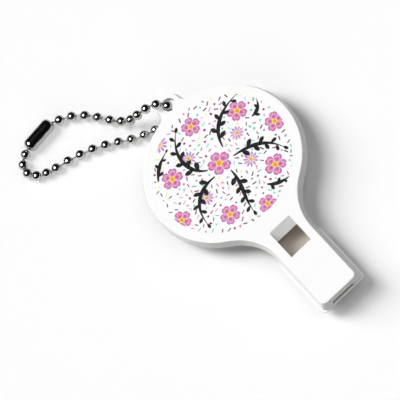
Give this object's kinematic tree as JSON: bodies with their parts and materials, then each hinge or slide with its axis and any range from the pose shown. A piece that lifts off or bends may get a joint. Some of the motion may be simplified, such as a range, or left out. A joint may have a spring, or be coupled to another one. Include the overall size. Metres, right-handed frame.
{
  "type": "training whistle",
  "caption": "Flat round whistle with a printed face, straight tapered mouthpiece, sounding window and a ball chain looped through its ear.",
  "frame": {"origin": "centre of the round back face, which lies on the table", "axes": "+Z out of the printed face, +Y from the mouthpiece towards the ear, +X to the right"},
  "size_m": [0.0685, 0.1079, 0.0096],
  "materials": {
    "printed_shell": "white gloss with a printed face",
    "back_cover": "white gloss",
    "windway_block": "white gloss",
    "chain_bead": "bright nickel plate",
    "chain_link": "dull nickel plate",
    "chain_connector": "bright nickel plate"
  },
  "bodies": {
    "whistle": {"front_shell": "printed_shell", "back_cover": "back_cover", "windway_block": "windway_block"},
    "bead_12": {"chain_bead_12": "chain_bead", "chain_link_12": "chain_link", "chain_link_13": "chain_link"},
    "bead_11": {"chain_bead_11": "chain_bead", "chain_link_11": "chain_link"},
    "bead_10": {"chain_bead_10": "chain_bead", "chain_link_10": "chain_link"},
    "bead_09": {"chain_bead_09": "chain_bead", "chain_link_09": "chain_link"},
    "bead_08": {"chain_bead_08": "chain_bead", "chain_link_08": "chain_link"},
    "bead_07": {"chain_bead_07": "chain_bead", "chain_link_07": "chain_link"},
    "bead_06": {"chain_bead_06": "chain_bead", "chain_link_06": "chain_link"},
    "bead_05": {"chain_bead_05": "chain_bead", "chain_link_05": "chain_link"},
    "bead_04": {"chain_bead_04": "chain_bead", "chain_link_04": "chain_link"},
    "bead_03": {"chain_bead_03": "chain_bead", "chain_link_03": "chain_link"},
    "bead_02": {"chain_bead_02": "chain_bead", "chain_link_02": "chain_link"},
    "bead_01": {"chain_bead_01": "chain_bead", "chain_link_01": "chain_link"},
    "connector": {"chain_connector": "chain_connector", "connector_end_beads": "chain_bead"},
    "bead_13": {"chain_bead_13": "chain_bead", "chain_link_14": "chain_link"},
    "bead_14": {"chain_bead_14": "chain_bead", "chain_link_15": "chain_link"},
    "bead_15": {"chain_bead_15": "chain_bead", "chain_link_16": "chain_link"},
    "bead_16": {"chain_bead_16": "chain_bead", "chain_link_17": "chain_link"},
    "bead_17": {"chain_bead_17": "chain_bead", "chain_link_18": "chain_link"},
    "bead_18": {"chain_bead_18": "chain_bead", "chain_link_19": "chain_link"},
    "bead_19": {"chain_bead_19": "chain_bead", "chain_link_20": "chain_link"},
    "bead_20": {"chain_bead_20": "chain_bead", "chain_link_21": "chain_link"},
    "bead_21": {"chain_bead_21": "chain_bead", "chain_link_22": "chain_link"},
    "bead_22": {"chain_bead_22": "chain_bead", "chain_link_23": "chain_link"},
    "bead_23": {"chain_bead_23": "chain_bead", "chain_link_24": "chain_link"},
    "bead_24": {"chain_bead_24": "chain_bead", "chain_link_25": "chain_link"},
    "bead_25": {"chain_bead_25": "chain_bead", "chain_link_26": "chain_link"},
    "bead_26": {"chain_bead_26": "chain_bead", "chain_link_27": "chain_link"},
    "bead_27": {"chain_bead_27": "chain_bead", "chain_link_28": "chain_link"}
  },
  "joints": [
    {"name": "chain_swing", "type": "hinge", "parent": "whistle", "child": "bead_12", "pos_m": [0, 0.02576, 0], "axis": [0, 0, 1], "range_deg": [-145, 30]},
    {"name": "flex_11", "type": "hinge", "parent": "bead_12", "child": "bead_11", "pos_m": [-0.00019, 0.02544, 0.00498], "axis": [0, 0, 1], "range_deg": [-0.0536, 0.1204]},
    {"name": "flex_10", "type": "hinge", "parent": "bead_11", "child": "bead_10", "pos_m": [-0.00138, 0.02698, 0.00778], "axis": [0, 0, 1], "range_deg": [-1.45, 3.27]},
    {"name": "flex_09", "type": "hinge", "parent": "bead_10", "child": "bead_09", "pos_m": [-0.00434, 0.02855, 0.00833], "axis": [0, 0, 1], "range_deg": [-1.85, 4.16]},
    {"name": "flex_08", "type": "hinge", "parent": "bead_09", "child": "bead_08", "pos_m": [-0.0075, 0.0299, 0.00691], "axis": [0, 0, 1], "range_deg": [-1.76, 3.95]},
    {"name": "flex_07", "type": "hinge", "parent": "bead_08", "child": "bead_07", "pos_m": [-0.00992, 0.03145, 0.00451], "axis": [0, 0, 1], "range_deg": [-1.44, 3.24]},
    {"name": "flex_06", "type": "hinge", "parent": "bead_07", "child": "bead_06", "pos_m": [-0.01223, 0.03375, 0.0027], "axis": [0, 0, 1], "range_deg": [-1.04, 2.34]},
    {"name": "flex_05", "type": "hinge", "parent": "bead_06", "child": "bead_05", "pos_m": [-0.01447, 0.03693, 0.00167], "axis": [0, 0, 1], "range_deg": [-0.67, 1.51]},
    {"name": "flex_04", "type": "hinge", "parent": "bead_05", "child": "bead_04", "pos_m": [-0.01648, 0.04039, 0.00146], "axis": [0, 0, 1], "range_deg": [-0.4, 0.91]},
    {"name": "flex_03", "type": "hinge", "parent": "bead_04", "child": "bead_03", "pos_m": [-0.01866, 0.04378, 0.00145], "axis": [0, 0, 1], "range_deg": [-0.2932, 0.6595]},
    {"name": "flex_02", "type": "hinge", "parent": "bead_03", "child": "bead_02", "pos_m": [-0.02138, 0.04674, 0.00145], "axis": [0, 0, 1], "range_deg": [-0.36, 0.8]},
    {"name": "flex_01", "type": "hinge", "parent": "bead_02", "child": "bead_01", "pos_m": [-0.02447, 0.04893, 0.00134], "axis": [0, 0, 1], "range_deg": [-0.55, 1.23]},
    {"name": "flex_connector", "type": "hinge", "parent": "bead_01", "child": "connector", "pos_m": [-0.02795, 0.05032, 0.00194], "axis": [0, 0, 1], "range_deg": [-0.75, 1.69]},
    {"name": "flex_13", "type": "hinge", "parent": "bead_12", "child": "bead_13", "pos_m": [-0.00295, 0.0249, 0.00178], "axis": [0, 0, 1], "range_deg": [-0.99, 2.23]},
    {"name": "flex_14", "type": "hinge", "parent": "bead_13", "child": "bead_14", "pos_m": [-0.00633, 0.02531, 0.00146], "axis": [0, 0, 1], "range_deg": [-1.68, 3.78]},
    {"name": "flex_15", "type": "hinge", "parent": "bead_14", "child": "bead_15", "pos_m": [-0.00964, 0.02629, 0.00152], "axis": [0, 0, 1], "range_deg": [-2.14, 4.8]},
    {"name": "flex_16", "type": "hinge", "parent": "bead_15", "child": "bead_16", "pos_m": [-0.01319, 0.028, 0.00146], "axis": [0, 0, 1], "range_deg": [-2.25, 5.06]},
    {"name": "flex_17", "type": "hinge", "parent": "bead_16", "child": "bead_17", "pos_m": [-0.01648, 0.03016, 0.00145], "axis": [0, 0, 1], "range_deg": [-1.92, 4.32]},
    {"name": "flex_18", "type": "hinge", "parent": "bead_17", "child": "bead_18", "pos_m": [-0.0197, 0.03243, 0.00145], "axis": [0, 0, 1], "range_deg": [-1.24, 2.78]},
    {"name": "flex_19", "type": "hinge", "parent": "bead_18", "child": "bead_19", "pos_m": [-0.0231, 0.03443, 0.00145], "axis": [0, 0, 1], "range_deg": [-0.45, 1.01]},
    {"name": "flex_20", "type": "hinge", "parent": "bead_19", "child": "bead_20", "pos_m": [-0.02668, 0.03606, 0.00145], "axis": [0, 0, 1], "range_deg": [-0.5094, 0.2265]},
    {"name": "flex_21", "type": "hinge", "parent": "bead_20", "child": "bead_21", "pos_m": [-0.03041, 0.03733, 0.00145], "axis": [0, 0, 1], "range_deg": [-1.52, 0.67]},
    {"name": "flex_22", "type": "hinge", "parent": "bead_21", "child": "bead_22", "pos_m": [-0.03422, 0.03833, 0.00145], "axis": [0, 0, 1], "range_deg": [-2.06, 0.91]},
    {"name": "flex_23", "type": "hinge", "parent": "bead_22", "child": "bead_23", "pos_m": [-0.03724, 0.03904, 0.00145], "axis": [0, 0, 1], "range_deg": [-2.39, 1.06]},
    {"name": "flex_24", "type": "hinge", "parent": "bead_23", "child": "bead_24", "pos_m": [-0.04014, 0.04025, 0.00145], "axis": [0, 0, 1], "range_deg": [-2.81, 1.25]},
    {"name": "flex_25", "type": "hinge", "parent": "bead_24", "child": "bead_25", "pos_m": [-0.04233, 0.04255, 0.00145], "axis": [0, 0, 1], "range_deg": [-3.35, 1.49]},
    {"name": "flex_26", "type": "hinge", "parent": "bead_25", "child": "bead_26", "pos_m": [-0.04257, 0.04569, 0.00145], "axis": [0, 0, 1], "range_deg": [-4.22, 1.88]},
    {"name": "flex_27", "type": "hinge", "parent": "bead_26", "child": "bead_27", "pos_m": [-0.04055, 0.04822, 0.00132], "axis": [0, 0, 1], "range_deg": [-4.5, 2]}
  ],
  "couplings": [
    {"joint": "flex_11", "follows": "flex_27", "ratio": -0.02673},
    {"joint": "flex_10", "follows": "flex_27", "ratio": -0.72641},
    {"joint": "flex_09", "follows": "flex_27", "ratio": -0.92446},
    {"joint": "flex_08", "follows": "flex_27", "ratio": -0.87815},
    {"joint": "flex_07", "follows": "flex_27", "ratio": -0.71905},
    {"joint": "flex_06", "follows": "flex_27", "ratio": -0.52014},
    {"joint": "flex_05", "follows": "flex_27", "ratio": -0.33443},
    {"joint": "flex_04", "follows": "flex_27", "ratio": -0.20142},
    {"joint": "flex_03", "follows": "flex_27", "ratio": -0.14652},
    {"joint": "flex_02", "follows": "flex_27", "ratio": -0.17791},
    {"joint": "flex_01", "follows": "flex_27", "ratio": -0.27363},
    {"joint": "flex_connector", "follows": "flex_27", "ratio": -0.37559},
    {"joint": "flex_13", "follows": "flex_27", "ratio": -0.49457},
    {"joint": "flex_14", "follows": "flex_27", "ratio": -0.84042},
    {"joint": "flex_15", "follows": "flex_27", "ratio": -1.0676},
    {"joint": "flex_16", "follows": "flex_27", "ratio": -1.1241},
    {"joint": "flex_17", "follows": "flex_27", "ratio": -0.95963},
    {"joint": "flex_18", "follows": "flex_27", "ratio": -0.61871},
    {"joint": "flex_19", "follows": "flex_27", "ratio": -0.22389},
    {"joint": "flex_20", "follows": "flex_27", "ratio": 0.11317},
    {"joint": "flex_21", "follows": "flex_27", "ratio": 0.33705},
    {"joint": "flex_22", "follows": "flex_27", "ratio": 0.457},
    {"joint": "flex_23", "follows": "flex_27", "ratio": 0.53167},
    {"joint": "flex_24", "follows": "flex_27", "ratio": 0.62499},
    {"joint": "flex_25", "follows": "flex_27", "ratio": 0.74453},
    {"joint": "flex_26", "follows": "flex_27", "ratio": 0.93772}
  ]
}
